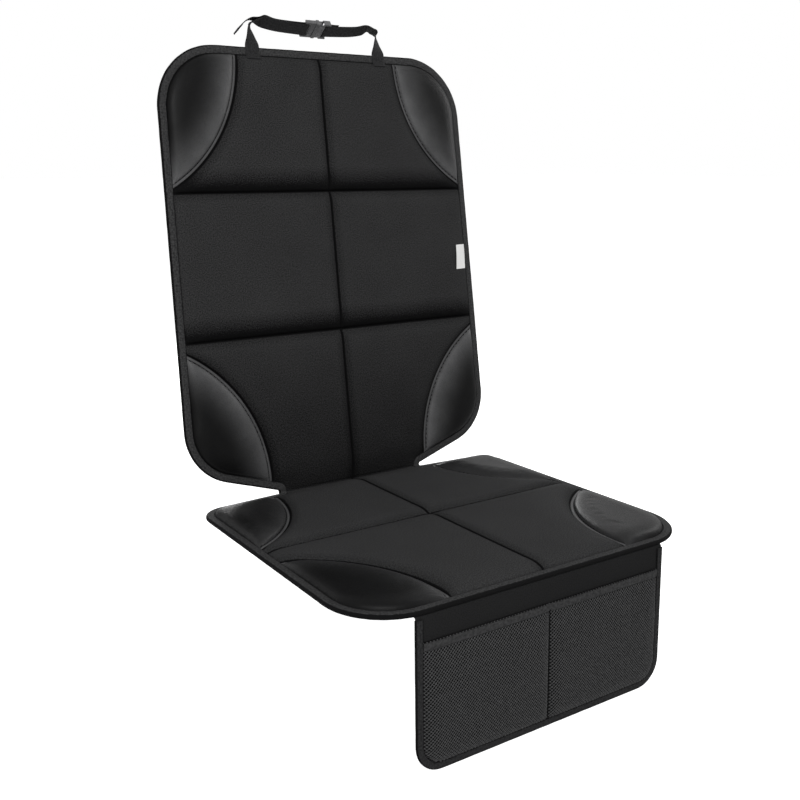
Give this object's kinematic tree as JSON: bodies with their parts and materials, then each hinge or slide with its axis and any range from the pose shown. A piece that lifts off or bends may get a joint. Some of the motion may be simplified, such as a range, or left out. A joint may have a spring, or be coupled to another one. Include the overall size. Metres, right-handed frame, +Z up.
{
  "type": "car seat protector mat",
  "caption": "Padded mat that lies on a car seat and its backrest, with quilted pads, leather-look corners, a front flap with net pockets and a headrest strap with a buckle.",
  "frame": {"origin": "middle of the seat part's underside, on the outer face of the non-slip sheet", "axes": "+X to the right across the seat as the picture shows it, -Y towards the seat's front edge, +Z up, out of the seat's top"},
  "size_m": [0.4914, 0.5218, 0.8114],
  "materials": {
    "oxford_fabric": "matt coarse weave, dark grey",
    "imitation_leather": "semi-gloss with a fine grain, black",
    "binding_tape": "matt ribbed tape, dark grey",
    "non_slip_sheet": "matt, dark grey",
    "pocket_net": "fine black net",
    "webbing": "woven, black",
    "buckle_plastic": "moulded, satin, dark grey",
    "tag_fabric": "matt, white"
  },
  "bodies": {
    "root": {"back_panel": "oxford_fabric", "back_patch_bottom_left": "imitation_leather", "back_patch_bottom_right": "imitation_leather", "back_patch_top_left": "imitation_leather", "back_patch_top_right": "imitation_leather", "buckle_female": "buckle_plastic", "buckle_male": "buckle_plastic", "edge_binding": "binding_tape", "flap_binding": "binding_tape", "flap_panel": "oxford_fabric", "non_slip_backing": "non_slip_sheet", "pocket_hem": "binding_tape", "pocket_net": "pocket_net", "seat_panel": "oxford_fabric", "seat_patch_front_left": "imitation_leather", "seat_patch_front_right": "imitation_leather", "seat_patch_rear_left": "imitation_leather", "seat_patch_rear_right": "imitation_leather", "side_tag": "tag_fabric", "strap_left": "webbing", "strap_right": "webbing"}
  },
  "joints": []
}
